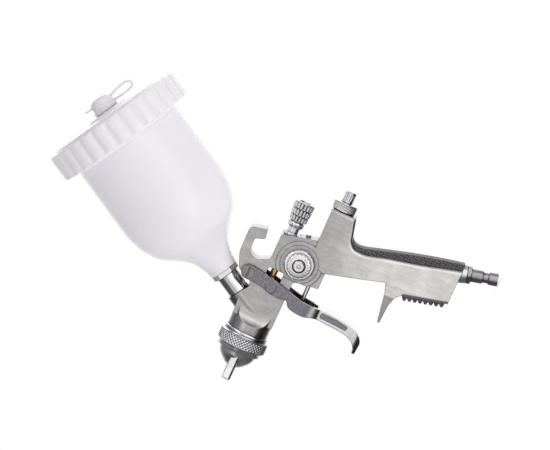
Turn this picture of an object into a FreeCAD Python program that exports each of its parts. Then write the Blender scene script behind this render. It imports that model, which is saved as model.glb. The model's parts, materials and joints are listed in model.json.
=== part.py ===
import FreeCAD, Part
import math
import os
from FreeCAD import Vector as V

# HVLP gravity-feed spray gun, millimetres, +Z up, the spray leaves along -X.
# Every sub-part is laid out from the fluid tip, with the needle on the X axis.
# SHIFT moves the finished parts so that the mouth of the air plug is the origin.

LEAN = math.radians(14.2)                 # handle and air plug lean back from vertical
MOUTH = V(138.7, 0, -150.0)               # centre of the air plug's mouth
UP_HANDLE = V(-math.sin(LEAN), 0, math.cos(LEAN))
SHIFT = V(-138.7, 0, 150.0)

CUP_TILT = math.radians(60.4)             # cup axis above the needle axis
CUP_AXIS = V(math.cos(CUP_TILT), 0, math.sin(CUP_TILT))
CUP_BASE = V(55.4, 0, 21.8)               # reference point on the cup axis
CUP_R = 43.3                              # outer radius of the cup wall
WALL = 1.4                                # moulded wall of the cup
LID_R = 54.2                              # lid over its ribs
LID_RIBS = 28
LID_LOW = 133.5                           # lower edge of the lid, along the cup axis
LID_TOP = 153.5

FIT = 0.05                                # radial clearance of every running fit

RING_R = 18.4                             # retaining ring over its knurl
NOSE_R = 15.2                             # threaded nose under the retaining ring
BARREL_R = 15.4
PLATE_Y = 9.5                             # half thickness of the flat part of the body

NEEDLE_R = 1.0
PIVOT = V(70.3, 0, 17.3)                  # trigger pivot
TRIG_IN = 11.0                            # inner faces of the trigger's cheeks
TRIG_OUT = 13.2

VALVE_Z = -27.2                           # height of the air valve's axis
CHAMBER_R = 6.5
DIAL_X = 90.2                             # fan dial axis
DIAL_Z = -14.2

HANG_R = 6.6                              # inner round of the hanging hook
HANG_X = 87.8
HANG_Z = 16.2


# ---------------------------------------------------------------- helpers

def turned(profile, at=V(0, 0, 0), along=V(1, 0, 0)):
    """Solid of revolution from (distance along, radius) points."""
    points = [V(r, 0, t) for t, r in profile]
    face = Part.Face(Part.makePolygon(points + [points[0]]))
    solid = face.revolve(V(0, 0, 0), V(0, 0, 1), 360)
    if solid.ShapeType != "Solid":
        solid = Part.Solid(Part.Shell(solid.Faces))
    if solid.Volume < 0:
        solid.reverse()
    solid.Placement = FreeCAD.Placement(at, FreeCAD.Rotation(V(0, 0, 1), along))
    return solid


def rod(at, along, radius, length):
    return Part.makeCylinder(radius, length, at, along)


def rod_x(x0, x1, radius, z=0.0, y=0.0):
    return rod(V(x0, y, z), V(1, 0, 0), radius, x1 - x0)


def rod_y(x, z, y0, y1, radius):
    return rod(V(x, y0, z), V(0, 1, 0), radius, y1 - y0)


def cup_point(t, r=0.0):
    """Point at distance t along the cup axis and r to its rear side."""
    side = V(math.sin(CUP_TILT), 0, -math.cos(CUP_TILT))
    return CUP_BASE + CUP_AXIS * t + side * r


def plug_point(s):
    return MOUTH + UP_HANDLE * s


def rounded_wire(corners):
    """Closed side outline from (x, z, corner radius) with tangent arcs."""
    count = len(corners)
    starts, ends, mids = [], [], []
    for i in range(count):
        p = V(corners[i][0], 0, corners[i][1])
        before = V(corners[i - 1][0], 0, corners[i - 1][1])
        after = V(corners[(i + 1) % count][0], 0, corners[(i + 1) % count][1])
        u = (before - p).normalize()
        w = (after - p).normalize()
        half = u.getAngle(w) / 2.0
        r = corners[i][2]
        if r <= 0 or math.pi / 2 - half < 0.02:
            starts.append(p)
            ends.append(p)
            mids.append(None)
            continue
        reach = r / math.tan(half)
        centre = p + (u + w).normalize() * (r / math.sin(half))
        starts.append(p + u * reach)
        ends.append(p + w * reach)
        mids.append(centre + (p - centre).normalize() * r)
    edges = []
    for i in range(count):
        if mids[i] is not None:
            edges.append(Part.Arc(starts[i], mids[i], ends[i]).toShape())
        nxt = (i + 1) % count
        if ends[i].distanceToPoint(starts[nxt]) > 1e-4:
            edges.append(Part.makeLine(ends[i], starts[nxt]))
    return Part.Wire(edges)


def curved_wire(runs):
    """Closed side outline from runs of (x, z): two points a line, three an arc, more a spline."""
    edges = []
    for run in runs:
        points = [V(x, 0, z) for x, z in run]
        if len(points) == 2:
            edges.append(Part.makeLine(points[0], points[1]))
        elif len(points) == 3:
            edges.append(Part.Arc(*points).toShape())
        else:
            curve = Part.BSplineCurve()
            curve.interpolate(points)
            edges.append(curve.toShape())
    return Part.Wire(edges)


def slab(corners, y0, y1):
    """Side outline extruded from y0 to y1."""
    return extruded(rounded_wire(corners), y0, y1)


def extruded(wire, y0, y1):
    face = Part.Face(wire)
    solid = face.extrude(V(0, y1 - y0, 0))
    solid.translate(V(0, y0, 0))
    return solid


def soften(solid, edges, radius):
    """Fillet the edges that take the radius."""
    try:
        result = solid.makeFillet(radius, edges)
        if result.isValid() and result.Volume > 0.5 * solid.Volume:
            return result
    except Exception:
        pass
    return solid


def side_edges(solid, y, low=-1e9, high=1e9):
    """Edges lying in the plane at this y, between two x values."""
    found = []
    for edge in solid.Edges:
        box = edge.BoundBox
        if abs(box.YMin - y) < 1e-4 and abs(box.YMax - y) < 1e-4:
            if box.XMin > low and box.XMax < high:
                found.append(edge)
    return found


def hexagon(at, along, across, length, turn=30):
    """Hexagonal prism, measured across its flats."""
    radius = across / math.sqrt(3)
    points = []
    for i in range(7):
        a = math.radians(60 * i + turn)
        points.append(V(radius * math.cos(a), radius * math.sin(a), 0))
    solid = Part.Face(Part.makePolygon(points)).extrude(V(0, 0, length))
    solid.Placement = FreeCAD.Placement(at, FreeCAD.Rotation(V(0, 0, 1), along))
    return solid


def coil(at, along, mean_r, wire_r, length, turns):
    """Helical compression spring."""
    pitch = (length - 2 * wire_r) / turns
    helix = Part.makeHelix(pitch, pitch * turns, mean_r)
    section = Part.Wire(Part.makeCircle(wire_r, V(mean_r, 0, 0), V(0, 1, 0)))
    sweep = Part.Wire(helix).makePipeShell([section], True, True)
    sweep.translate(V(0, 0, wire_r))
    sweep.Placement = FreeCAD.Placement(at, FreeCAD.Rotation(V(0, 0, 1), along)) * sweep.Placement
    return sweep


def flutes(at, along, ring_r, cut_r, length, count):
    """Ring of parallel rods used to cut grips."""
    rods = []
    for i in range(count):
        a = 2 * math.pi * i / count
        rods.append(Part.makeCylinder(cut_r, length, V(ring_r * math.cos(a), ring_r * math.sin(a), 0)))
    group = Part.makeCompound(rods)
    group.Placement = FreeCAD.Placement(at, FreeCAD.Rotation(V(0, 0, 1), along))
    return group


# ---------------------------------------------------------------- body

def handle_shape():
    """Valve housing, grip and lower handle from one side outline, with the spur in front."""
    wire = curved_wire([
        [(96.0, -19.9), (136.9, -19.2)],
        [(136.9, -19.2), (137.6, -19.9)],
        [(137.6, -19.9), (137.6, -38.0)],
        [(137.6, -38.0), (122.9, -41.8)],
        [(122.9, -41.8), (119.8, -43.2), (117.4, -46.0), (116.2, -51.0), (117.8, -60.0), (120.2, -68.1),
         (125.3, -89.0), (130.3, -107.0), (134.9, -123.6)],
        [(134.9, -123.6), (108.5, -123.6)],
        [(108.5, -123.6), (99.9, -90.9)],
        [(99.9, -90.9), (104.9, -77.9)],
        [(104.9, -77.9), (96.3, -50.0)],
        [(96.3, -50.0), (91.2, -32.0)],
        [(91.2, -32.0), (96.0, -19.9)]])
    solid = extruded(wire, -13.0, 13.0)
    front = Part.makePolygon([V(70, -10.0, -10), V(70, 10.0, -10), V(70, 10.6, -42), V(70, 11.3, -70),
                              V(70, 11.8, -130), V(70, -11.8, -130), V(70, -11.3, -70), V(70, -10.6, -42),
                              V(70, -10.0, -10)])
    width = Part.Face(front).extrude(V(80, 0, 0))
    solid = solid.common(width)
    rims = []
    for edge in solid.Edges:
        box = edge.BoundBox
        one_side = box.YMin > 9.0 or box.YMax < -9.0
        if one_side and (box.XMin > 114.0 or box.ZMax < -77.0) and box.ZMax < -19.0 and box.YLength < 2.5:
            if box.ZMin > -123.5 or box.ZLength > 1.0:
                if box.ZMax > -123.5:
                    rims.append(edge)
    solid = soften(solid, rims, 2.6)
    spur = slab([(104.5, -76.0, 0), (97, -78.8, 8), (84, -81.2, 30), (75.2, -82.9, 0.7),
                 (75.4, -84.5, 0.7), (90, -85.0, 12), (97, -87.0, 4), (101, -91.0, 0),
                 (112, -88.0, 0)], -13.0, 13.0)
    above = Part.makePolygon([V(70, -7.4, -100), V(104, -12.6, -100), V(120, -12.6, -100), V(120, 12.6, -100),
                              V(104, 12.6, -100), V(70, 7.4, -100), V(70, -7.4, -100)])
    spur = spur.common(Part.Face(above).extrude(V(0, 0, 40))).common(width)
    return solid.fuse(spur).removeSplitter()


def frame_plate():
    a0 = math.radians(210)
    low = V(HANG_X + HANG_R * math.cos(a0), 0, HANG_Z + HANG_R * math.sin(a0))
    left = V(HANG_X - HANG_R * math.sin(math.radians(60)), 0, HANG_Z + HANG_R * 0.5)
    top = V(HANG_X, 0, HANG_Z + HANG_R)
    outer = rounded_wire([
        (38.0, -15.4, 0), (76.3, -15.4, 2.5), (78.4, -24.0, 8), (79.3, -34.0, 1.0), (111.0, -34.0, 0),
        (111.5, -19.0, 0), (108.6, -7.0, 10), (106.4, 1.5, 8), (104.8, 6.5, 1.0), (99.0, 6.5, 0),
        (103.9, 17.4, 0), (100.9, 29.6, 4.0), (81.0, 29.4, 20), (69.5, 24.6, 3.0), (64.6, 13.6, 3.0),
        (60.0, 12.2, 4.0), (55.0, 16.5, 0), (38.0, 15.4, 0)])
    plate = Part.Face(outer).extrude(V(0, 2 * PLATE_Y, 0))
    throat = Part.Wire([
        Part.makeLine(V(110.0, 0, 6.5), V(86.6, 0, 6.5)),
        Part.Arc(V(86.6, 0, 6.5), V(84.9, 0, 7.3), V(84.0, 0, 8.6)).toShape(),
        Part.makeLine(V(84.0, 0, 8.6), low),
        Part.Arc(low, left, top).toShape(),
        Part.makeLine(top, V(93.0, 0, 22.8)),
        Part.Arc(V(93.0, 0, 22.8), V(94.1, 0, 22.4), V(94.7, 0, 21.4)).toShape(),
        Part.makeLine(V(94.7, 0, 21.4), V(96.4, 0, 16.9)),
        Part.Arc(V(96.4, 0, 16.9), V(97.0, 0, 16.1), V(98.0, 0, 16.0)).toShape(),
        Part.makeLine(V(98.0, 0, 16.0), V(110.0, 0, 18.2)),
        Part.makeLine(V(110.0, 0, 18.2), V(110.0, 0, 6.5))])
    opening = Part.Face(throat).extrude(V(0, 2 * PLATE_Y + 4, 0))
    opening.translate(V(0, -2, 0))
    plate = plate.cut(opening)
    plate.translate(V(0, -PLATE_Y, 0))
    edges = side_edges(plate, PLATE_Y, 57, 112) + side_edges(plate, -PLATE_Y, 57, 112)
    return soften(plate, edges, 1.0)


def head_shape():
    """Threaded nose, barrel, side scoops and cup boss."""
    barrel = turned([(19.0, 0), (19.0, 14.7), (19.5, NOSE_R), (28.8, NOSE_R), (28.8, BARREL_R),
                     (48.0, BARREL_R), (48.0, 0)])
    scoop = 13.2
    for side in (-1, 1):
        y = side * (PLATE_Y + scoop)
        barrel = barrel.cut(rod(V(46.0, y, -20), V(0, 0, 1), scoop, 40))
        low = PLATE_Y if side > 0 else -PLATE_Y - 12
        barrel = barrel.cut(Part.makeBox(10, 12, 40, V(46.0, low, -20)))
    boss = rod(cup_point(-5), CUP_AXIS * -1, 9.7, 20.0)
    return barrel.fuse(boss)


def make_body():
    body = head_shape().fuse(frame_plate())
    body = body.fuse(handle_shape())
    body = body.fuse(rod_y(PIVOT.x, PIVOT.z, -10.9, 10.9, 5.0))
    behind_window = Part.makeBox(60, 9, 60, V(77.5, -12, -34))
    for face, radius in ((-10.1, 17.0), (-10.7, 14.0)):
        step = rod_y(DIAL_X, DIAL_Z, face, -8.0, radius)
        body = body.fuse(step.common(behind_window))
    body = body.fuse(turned([(22.8, 0), (22.8, 6.7), (26.0, 7.2), (36.0, 7.4), (36.0, 0)], MOUTH,
                            UP_HANDLE))
    window = slab([(65.0, -7.0, 1.5), (79.5, -7.0, 1.5), (79.5, 5.2, 1.5), (65.0, 5.2, 1.5)], -15, 15)
    cuts = [
        window,
        rod_x(15.0, 26.5, 6.0),
        rod_x(26.0, 54.5, 3.0),
        rod_x(54.0, 65.5, 3.6),
        turned([(18.0, 7.6), (18.0, 12.0), (24.0, 12.0), (24.0, 7.6)]),
        rod(cup_point(0), CUP_AXIS * -1, 7.0, 13.0),
        rod(cup_point(0), CUP_AXIS * -1, 4.6, 25.0),
        rod(cup_point(0), CUP_AXIS * -1, 13.0, 5.0),
        rod_x(79.0, 98.0, 3.4),
        rod_x(98.0, 112.0, 5.6),
        rod_x(106.5, 118.0, 7.0),
        rod_x(76.0, 84.5, 3.2, VALVE_Z),
        rod_x(84.0, 91.0, 4.5, VALVE_Z),
        rod_x(90.0, 140.0, CHAMBER_R, VALVE_Z),
        rod_y(DIAL_X, DIAL_Z, -12.0, 4.0, 4.0),
        rod_y(DIAL_X, DIAL_Z, -12.0, -3.0, 6.0),
        rod_y(PIVOT.x, PIVOT.z, -12.0, 12.0, 3.0),
        rod(V(87.5, 0, VALVE_Z), V(0, 0, 1), 1.8, 13.0),
        rod_x(22.0, DIAL_X, 1.9, -11.2),
        rod(V(84.5, 4.2, VALVE_Z), V(0, 0, 1), 1.5, 18.0),
        rod_x(22.0, 84.5, 1.5, -9.6, 4.2),
        rod(plug_point(22.0), UP_HANDLE, 5.0, 3.55),
        rod(V(109.9, 0, -12.2) - V(0.97, 0, 0.243) * 4.0, V(0.97, 0, 0.243), 1.2, 8.0),
    ]
    low = plug_point(25.0)
    high = V(103.0, 0, -30.0)
    cuts.append(rod(low, high - low, 3.6, (high - low).Length))
    for cut in cuts:
        body = body.cut(cut)
    body = body.cut(make_grip_back()).cut(make_grip_front())
    return body.removeSplitter()


def make_grip_back():
    """Textured strip down the rear of the handle."""
    wire = curved_wire([
        [(122.9, -42.3), (120.9, -43.9), (119.9, -46.4), (119.8, -50.0), (121.9, -58.2), (124.4, -66.3),
         (130.8, -87.6), (135.5, -105.2), (139.6, -123.6)],
        [(139.6, -123.6), (134.2, -123.6)],
        [(134.2, -123.6), (129.5, -107.0), (124.5, -89.0), (119.4, -68.1), (117.0, -60.0), (115.3, -51.0),
         (116.4, -45.6), (119.2, -42.4), (122.6, -41.0)],
        [(122.6, -41.0), (122.9, -42.3)]])
    strip = extruded(wire, -7.4, 7.4)
    return soften(strip, side_edges(strip, 7.4, 119.0) + side_edges(strip, -7.4, 119.0), 1.2)


def make_grip_front():
    """Serrated insert at the front of the lower handle."""
    top = V(99.9, 0, -91.3)
    low = V(107.9, 0, -121.6)
    run = (low - top)
    ahead = V(run.z, 0, -run.x).normalize()
    points = [top + V(0.8, 0, 0), top]
    count = 8
    for i in range(count):
        start = top + run * (i / count)
        points.append(start + run * (0.30 / count) + ahead * 3.1)
        points.append(start + run * (0.72 / count) + ahead * 3.1)
        points.append(start + run * (0.98 / count) + ahead * 0.9)
    points.append(low)
    points.append(low + V(0.8, 0, 0))
    if ahead.x > 0:
        raise ValueError("serrations must face forward")
    face = Part.Face(Part.makePolygon(points + [points[0]]))
    solid = face.extrude(V(0, 15.0, 0))
    solid.translate(V(0, -7.5, 0))
    return solid


# ---------------------------------------------------------------- spray head

def make_fluid_nozzle():
    nozzle = turned([(0, 0.7), (0, 1.3), (0.3, 1.4), (3, 1.4), (8, 5.2), (12, 5.6), (12, 8.8),
                     (15, 8.8), (15, 6.0),
                     (26, 6.0), (26, 3.0), (7, 3.0), (1.2, 0.7)])
    flats = hexagon(V(11.9, 0, 0), V(1, 0, 0), 16.2, 3.2)
    keep = nozzle.common(flats)
    front = nozzle.common(rod_x(-1, 12.0, 20))
    back = nozzle.common(rod_x(15.0, 30, 20))
    return front.fuse(keep).fuse(back).removeSplitter()


def make_nozzle_gasket():
    return turned([(15.0, 6.1), (15.0, 7.9), (15.5, 7.9), (15.5, 6.1)])


def make_air_distributor():
    ring = turned([(15.5, 6.1), (15.5, 12.7), (19.0, 12.7), (19.0, 6.1)])
    holes = flutes(V(14, 0, 0), V(1, 0, 0), 9.9, 1.0, 6, 10)
    return ring.cut(holes)


def horn(side):
    """One horn of the air cap: a bar with a flat outer face, hollowed towards the spray."""
    root = V(12.4, 10.85 * side, 0)
    tip = V(-8.2, 10.0 * side, 0)
    bar = rod(root, tip - root, 3.25, (tip - root).Length)
    points = [V(-9.0, 8.2 * side, -10), V(-9.0, 14.5 * side, -10), V(13, 14.5 * side, -10),
              V(13, 7.0 * side, -10), V(3.5, 6.8 * side, -10), V(-1.5, 7.2 * side, -10)]
    blade = Part.Face(Part.makePolygon(points + [points[0]])).extrude(V(0, 0, 20))
    bar = bar.common(blade)
    lean = math.radians(14)
    outward = V(0, side * math.cos(lean), -side * math.sin(lean))
    across = (tip - root).cross(outward).normalize() * 5.0
    low = root + outward * 2.35
    high = root + outward * 8.0
    flat = Part.makePolygon([low + across, low - across, high - across, high + across, low + across])
    bar = bar.cut(Part.Face(flat).extrude(tip - root))
    rims = [e for e in bar.Edges if e.BoundBox.XMax < -7.5]
    return soften(bar, rims, 0.6)


def make_air_cap():
    cap = turned([(0.4, 1.75), (0.4, 4.8), (2, 7.3), (4, 9.5), (6, 11.4), (8, 12.8), (10, 13.6),
                  (12.5, 14.15), (14.4, 14.2), (14.4, 15.1), (17, 15.1), (17, 12.9), (13, 12.9), (9.5, 10.8),
                  (5, 6.5), (3.5, 3.6), (1.9, 1.75)])
    hollow = turned([(1.9, 0), (1.9, 1.75), (3.5, 3.6), (5, 6.5), (9.5, 10.8), (13, 12.9), (17, 12.9),
                     (17, 0)])
    cap = cap.fuse(horn(1)).fuse(horn(-1)).cut(hollow)
    for side in (-1, 1):
        y = 10.6 * side
        cap = cap.cut(rod_x(-3.0, 12.0, 1.3, 0, y))
        for x in (-4.8, -1.6):
            cap = cap.cut(rod(V(x + 1.0, y, 0), V(-0.62, -0.78 * side, 0), 0.65, 6))
    cap = cap.cut(flutes(V(0, 0, 0), V(1, 0, 0), 3.3, 0.45, 3.4, 6))
    return cap.removeSplitter()


def make_cap_snap_ring():
    ring = turned([(17.3, 14.0), (17.3, 15.15), (18.4, 15.15), (18.4, 14.0)])
    return ring.cut(Part.makeBox(3, 2.4, 3, V(16.5, -1.2, 13.0)))


def make_cap_ring():
    ring = turned([(12.9, 14.3), (12.9, 16.0), (13.5, 16.6), (16.5, 16.6), (17.0, RING_R - 0.2),
                   (17.3, RING_R),
                   (24.7, RING_R), (25.0, RING_R - 0.2), (25.5, 16.7), (28.1, 16.7), (28.7, 16.1),
                   (28.7, NOSE_R + FIT), (14.35, NOSE_R + FIT), (14.35, 14.3)])
    grip = flutes(V(16.4, 0, 0), V(1, 0, 0), RING_R + 0.45, 0.85, 9.2, 48)
    return ring.cut(grip)


# ---------------------------------------------------------------- needle line

def make_needle():
    return turned([(0.3, 0), (0.3, 0.4), (1.2, 0.66), (7.0, NEEDLE_R), (96.0, NEEDLE_R), (96.0, 3.0),
                   (98.0, 3.0),
                   (98.0, 1.4), (98.9, 1.4), (98.9, 0)])


def make_needle_collar():
    return turned([(73.0, NEEDLE_R), (73.0, 2.3), (73.4, 2.6), (78.6, 2.6), (79.0, 2.3), (79.0, NEEDLE_R)])


def make_needle_packing():
    return turned([(54.5, NEEDLE_R + FIT), (54.5, 3.6), (58.5, 3.6), (58.5, NEEDLE_R + FIT)])


def make_packing_nut():
    nut = turned([(58.5, NEEDLE_R + FIT), (58.5, 3.6), (65.0, 3.6), (65.0, NEEDLE_R + FIT)])
    head = hexagon(V(65.0, 0, 0), V(1, 0, 0), 7.4, 3.0)
    return nut.fuse(head.cut(rod_x(64, 70, NEEDLE_R + FIT))).removeSplitter()


def make_needle_bushing():
    return turned([(98.0, 3.3), (98.0, 5.6), (106.5, 5.6), (106.5, 6.8), (108.0, 6.8), (108.3, 6.5),
                   (108.3, 4.1),
                   (117.6, 4.1), (118.0, 3.8), (118.0, 3.3)])


def make_needle_spring():
    return coil(V(98.0, 0, 0), V(1, 0, 0), 2.4, 0.35, 21.0, 9)


def make_needle_stop():
    return turned([(103.0, 0), (103.0, 1.3), (103.2, 1.5), (119.0, 1.5), (119.0, 4.1), (121.4, 4.1),
                   (121.4, 0)])


def make_fluid_knob():
    knob = turned([(112.5, 4.15), (112.5, 5.1), (113.2, 5.7), (115.8, 6.2), (116.6, 5.8), (117.4, 5.8),
                   (118.2, 6.9), (121.2, 7.1), (122.0, 6.5), (122.8, 7.2), (126.2, 7.5), (127.0, 6.8),
                   (127.8, 7.6), (130.8, 7.7), (132.0, 6.9), (132.0, 0), (121.5, 0), (121.5, 4.15)])
    knob = knob.cut(flutes(V(117.8, 0, 0), V(1, 0, 0), 9.06, 2.2, 20, 12))
    return knob.cut(rod_x(131.2, 133, 4.6))


def make_guide_screw():
    out = V(0.97, 0, 0.243).normalize()
    at = V(109.9, 0, -12.2)
    screw = rod(at - out * 4.0, out, 1.2, 4.6).fuse(rod(at + out * 0.1, out, 1.9, 1.5))
    return screw.cut(Part.makeBox(1.2, 6, 0.6, V(111.2, -3, -12.1))).removeSplitter()


# ---------------------------------------------------------------- trigger

def make_trigger():
    wire = curved_wire([
        [(65.1, 17.3), (70.3, 22.5), (75.5, 17.3)],
        [(75.5, 17.3), (74.4, 7.0), (72.0, -5.0), (69.6, -15.0), (66.9, -27.0), (66.0, -38.0),
         (65.8, -50.0), (64.4, -63.0), (61.0, -73.5), (54.2, -78.6)],
        [(54.2, -78.6), (47.5, -78.0)],
        [(47.5, -78.0), (45.9, -76.6), (47.2, -75.2)],
        [(47.2, -75.2), (50.5, -74.4), (53.1, -72.4), (55.8, -67.6), (57.2, -60.0), (58.0, -48.0),
         (58.2, -39.0), (57.0, -34.0), (56.6, -28.5), (57.7, -21.3)],
        [(57.7, -21.3), (58.6, -19.2)],
        [(58.6, -19.2), (62.6, -16.4)],
        [(62.6, -16.4), (61.7, -9.0), (62.2, -3.0), (64.4, 5.0), (65.0, 11.0), (65.1, 17.3)]])
    lever = extruded(wire, -TRIG_OUT, TRIG_OUT)
    # seen from the front: a wide fork that closes to a narrow finger lever
    front = Part.Wire([
        Part.makeLine(V(40, -TRIG_OUT, 25), V(40, TRIG_OUT, 25)),
        Part.makeLine(V(40, TRIG_OUT, 25), V(40, TRIG_OUT, -30)),
        Part.Arc(V(40, TRIG_OUT, -30), V(40, 12.2, -36), V(40, 9.0, -42)).toShape(),
        Part.makeLine(V(40, 9.0, -42), V(40, 7.2, -70)),
        Part.Arc(V(40, 7.2, -70), V(40, 5.4, -76.4), V(40, 0, -79)).toShape(),
        Part.Arc(V(40, 0, -79), V(40, -5.4, -76.4), V(40, -7.2, -70)).toShape(),
        Part.makeLine(V(40, -7.2, -70), V(40, -9.0, -42)),
        Part.Arc(V(40, -9.0, -42), V(40, -12.2, -36), V(40, -TRIG_OUT, -30)).toShape(),
        Part.makeLine(V(40, -TRIG_OUT, -30), V(40, -TRIG_OUT, 25))])
    lever = lever.common(Part.Face(front).extrude(V(50, 0, 0)))
    fork = slab([(50, 30, 0), (90, 30, 0), (90, -40.0, 0), (61.2, -40.0, 0), (61.0, -38.0, 0),
                 (59.2, -33.5, 0), (58.0, -30.0, 0), (58.2, -26.0, 0), (59.2, -22.0, 0), (62.0, -18.6, 0),
                 (50, -14.5, 0)],
                -TRIG_IN, TRIG_IN)
    closing = slab([(40, 40, 0), (100, 40, 0), (100, -36.5, 0), (40, -36.5, 0)], -20, 20)
    throat = rod(V(40, 0, -33.0), V(1, 0, 0), 9.0, 60)
    lever = lever.cut(fork.common(closing.fuse(throat)))
    for side in (-1, 1):
        low = 1.5 if side > 0 else -TRIG_IN - 0.5
        arm = rod_y(70.6, 0, low, low + TRIG_IN - 1.0, 2.0)
        lever = lever.fuse(arm)
        disc = TRIG_OUT - 0.3 if side > 0 else -TRIG_OUT - 0.5
        lever = lever.fuse(rod_y(66.6, -2.4, disc, disc + 0.8, 4.0))
        groove = slab([(64.4, -43.5, 1.8), (64.2, -56.0, 12), (62.2, -65.8, 1.3), (59.3, -64.8, 1.3),
                       (59.8, -56.0, 12), (60.4, -43.5, 1.8)],
                      side * 6.6 if side > 0 else -12.6, side * 12.6 if side > 0 else -6.6)
        lever = lever.cut(groove)
    pad = rod_y(57.0, VALVE_Z, -5.0, 5.0, 1.5)
    lever = lever.fuse(pad.common(slab([(56.5, -20, 0), (70, -20, 0), (70, -35, 0), (56.5, -35, 0)],
                                       -6, 6)))
    lever = lever.cut(rod_y(PIVOT.x, PIVOT.z, -20, 20, 3.0 + FIT))
    return lever.removeSplitter()


def make_trigger_pin():
    """Pivot sleeve through body and cheeks, headed on the far side."""
    pin = rod_y(PIVOT.x, PIVOT.z, -13.3, 13.6, 3.0)
    pin = pin.fuse(rod_y(PIVOT.x, PIVOT.z, 13.3, 15.0, 4.5))
    pin = pin.cut(rod_y(PIVOT.x, PIVOT.z, -14, 2.0, 1.6))
    return pin.removeSplitter()


def make_trigger_screw():
    screw = rod_y(PIVOT.x, PIVOT.z, -13.4, -1.0, 1.6)
    screw = screw.fuse(rod_y(PIVOT.x, PIVOT.z, -15.1, -13.3, 4.4))
    slot = Part.makeBox(10, 1.0, 1.2, V(PIVOT.x - 5, -15.3, PIVOT.z - 0.6))
    return screw.cut(slot).removeSplitter()


# ---------------------------------------------------------------- air valve

def make_air_stem():
    return turned([(58.6, 0), (58.6, 1.2), (59.0, 1.6), (103.6, 1.6), (104.0, 1.2), (104.0, 0)],
                  V(0, 0, VALVE_Z))


def make_air_stem_packing():
    gland = turned([(78.7, 1.6 + FIT), (78.7, 3.2), (84.0, 3.2), (84.0, 1.6 + FIT)], V(0, 0, VALVE_Z))
    return gland


def make_air_valve_seat():
    return turned([(90.0, 3.0), (90.0, CHAMBER_R), (95.2, CHAMBER_R), (95.2, 4.4), (96.0, 4.0),
                   (96.0, 3.0)],
                  V(0, 0, VALVE_Z))


def make_air_poppet():
    return turned([(96.0, 1.6), (96.0, 4.8), (98.4, 4.8), (98.4, 3.0), (101.0, 3.0), (101.0, 1.6)],
                  V(0, 0, VALVE_Z))


def make_air_valve_spring():
    return coil(V(98.5, 0, VALVE_Z), V(1, 0, 0), 4.0, 0.5, 27.0, 8)


def make_air_stop():
    return turned([(116.0, 0), (116.0, 2.0), (125.6, 2.0), (125.6, 5.8), (127.6, 5.8), (127.6, 2.0),
                   (149.9, 2.0),
                   (149.9, 0)], V(0, 0, VALVE_Z))


def make_air_valve_nut():
    nut = turned([(131.0, 2.0 + FIT), (131.0, CHAMBER_R), (137.6, CHAMBER_R), (137.6, 8.0), (138.2, 8.75),
                  (143.8, 8.75), (144.4, 8.1), (144.4, 2.0 + FIT)], V(0, 0, VALVE_Z))
    return nut.cut(flutes(V(137.0, 0, VALVE_Z), V(1, 0, 0), 9.1, 0.75, 8, 26))


def make_air_adjust_knob():
    knob = turned([(144.5, 2.0 + FIT), (144.5, 3.9), (144.9, 4.1), (152.2, 4.1), (153.0, 3.3), (153.0, 0),
                   (150.0, 0), (150.0, 2.0 + FIT)], V(0, 0, VALVE_Z))
    knob = knob.cut(flutes(V(146.2, 0, VALVE_Z), V(1, 0, 0), 4.6, 0.9, 5.2, 10))
    return knob.cut(Part.makeBox(2, 1.0, 10, V(151.6, -0.5, VALVE_Z - 5)))


# ---------------------------------------------------------------- fan control

def make_fan_housing():
    housing = turned([(3.0, 4.0 + FIT), (3.0, 6.0), (10.7, 6.0), (10.7, 11.0), (13.2, 11.0), (13.8, 10.3),
                      (13.8, 4.0 + FIT)], V(DIAL_X, 0, DIAL_Z), V(0, -1, 0))
    marks = flutes(V(DIAL_X, -12.4, DIAL_Z), V(0, -1, 0), 11.2, 0.5, 3, 24)
    return housing.cut(marks)


def make_fan_spool():
    spool = rod_y(DIAL_X, DIAL_Z, -17.0, 3.6, 4.0)
    spool = spool.cut(rod_y(DIAL_X, DIAL_Z, -17.5, -10.0, 1.5))
    ring = turned([(4.4, 3.2), (4.4, 4.2), (6.0, 4.2), (6.0, 3.2)], V(DIAL_X, 0, DIAL_Z), V(0, -1, 0))
    spool = spool.cut(ring)
    flat = Part.makeBox(10, 5, 3, V(DIAL_X - 5, -2.4, DIAL_Z - 5.2))
    return spool.cut(flat)


def make_fan_seal():
    return Part.makeTorus(3.62, 0.4, V(DIAL_X, -5.2, DIAL_Z), V(0, 1, 0))


def make_fan_dial():
    dial = turned([(13.9, 4.0), (13.9, 8.2), (14.5, 9.0), (19.2, 9.0), (20.2, 8.2), (20.2, 1.5),
                   (17.0, 1.5), (17.0, 4.0)], V(DIAL_X, 0, DIAL_Z), V(0, -1, 0))
    dial = dial.cut(flutes(V(DIAL_X, -13.5, DIAL_Z), V(0, -1, 0), 10.0, 1.75, 8, 16))
    groove = turned([(19.7, 5.2), (20.4, 5.2), (20.4, 6.2), (19.7, 6.2)], V(DIAL_X, 0, DIAL_Z), V(0, -1, 0))
    return dial.cut(groove)


def make_fan_dial_screw():
    screw = turned([(11.0, 0), (11.0, 1.5), (20.2, 1.5), (20.2, 4.1), (21.3, 4.1), (21.8, 3.5), (21.8, 0)],
                   V(DIAL_X, 0, DIAL_Z), V(0, -1, 0))
    return screw.cut(hexagon(V(DIAL_X, -20.6, DIAL_Z), V(0, -1, 0), 3.0, 3))


# ---------------------------------------------------------------- air inlet

def make_inlet_nut():
    nut = hexagon(plug_point(19.6), UP_HANDLE, 12.4, 3.2)
    nut = nut.common(turned([(19.6, 0), (19.6, 6.2), (20.2, 6.9), (22.2, 6.9), (22.8, 6.2), (22.8, 0)],
                            MOUTH, UP_HANDLE))
    return nut.cut(rod(plug_point(18), UP_HANDLE, 5.0, 8))


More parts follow.
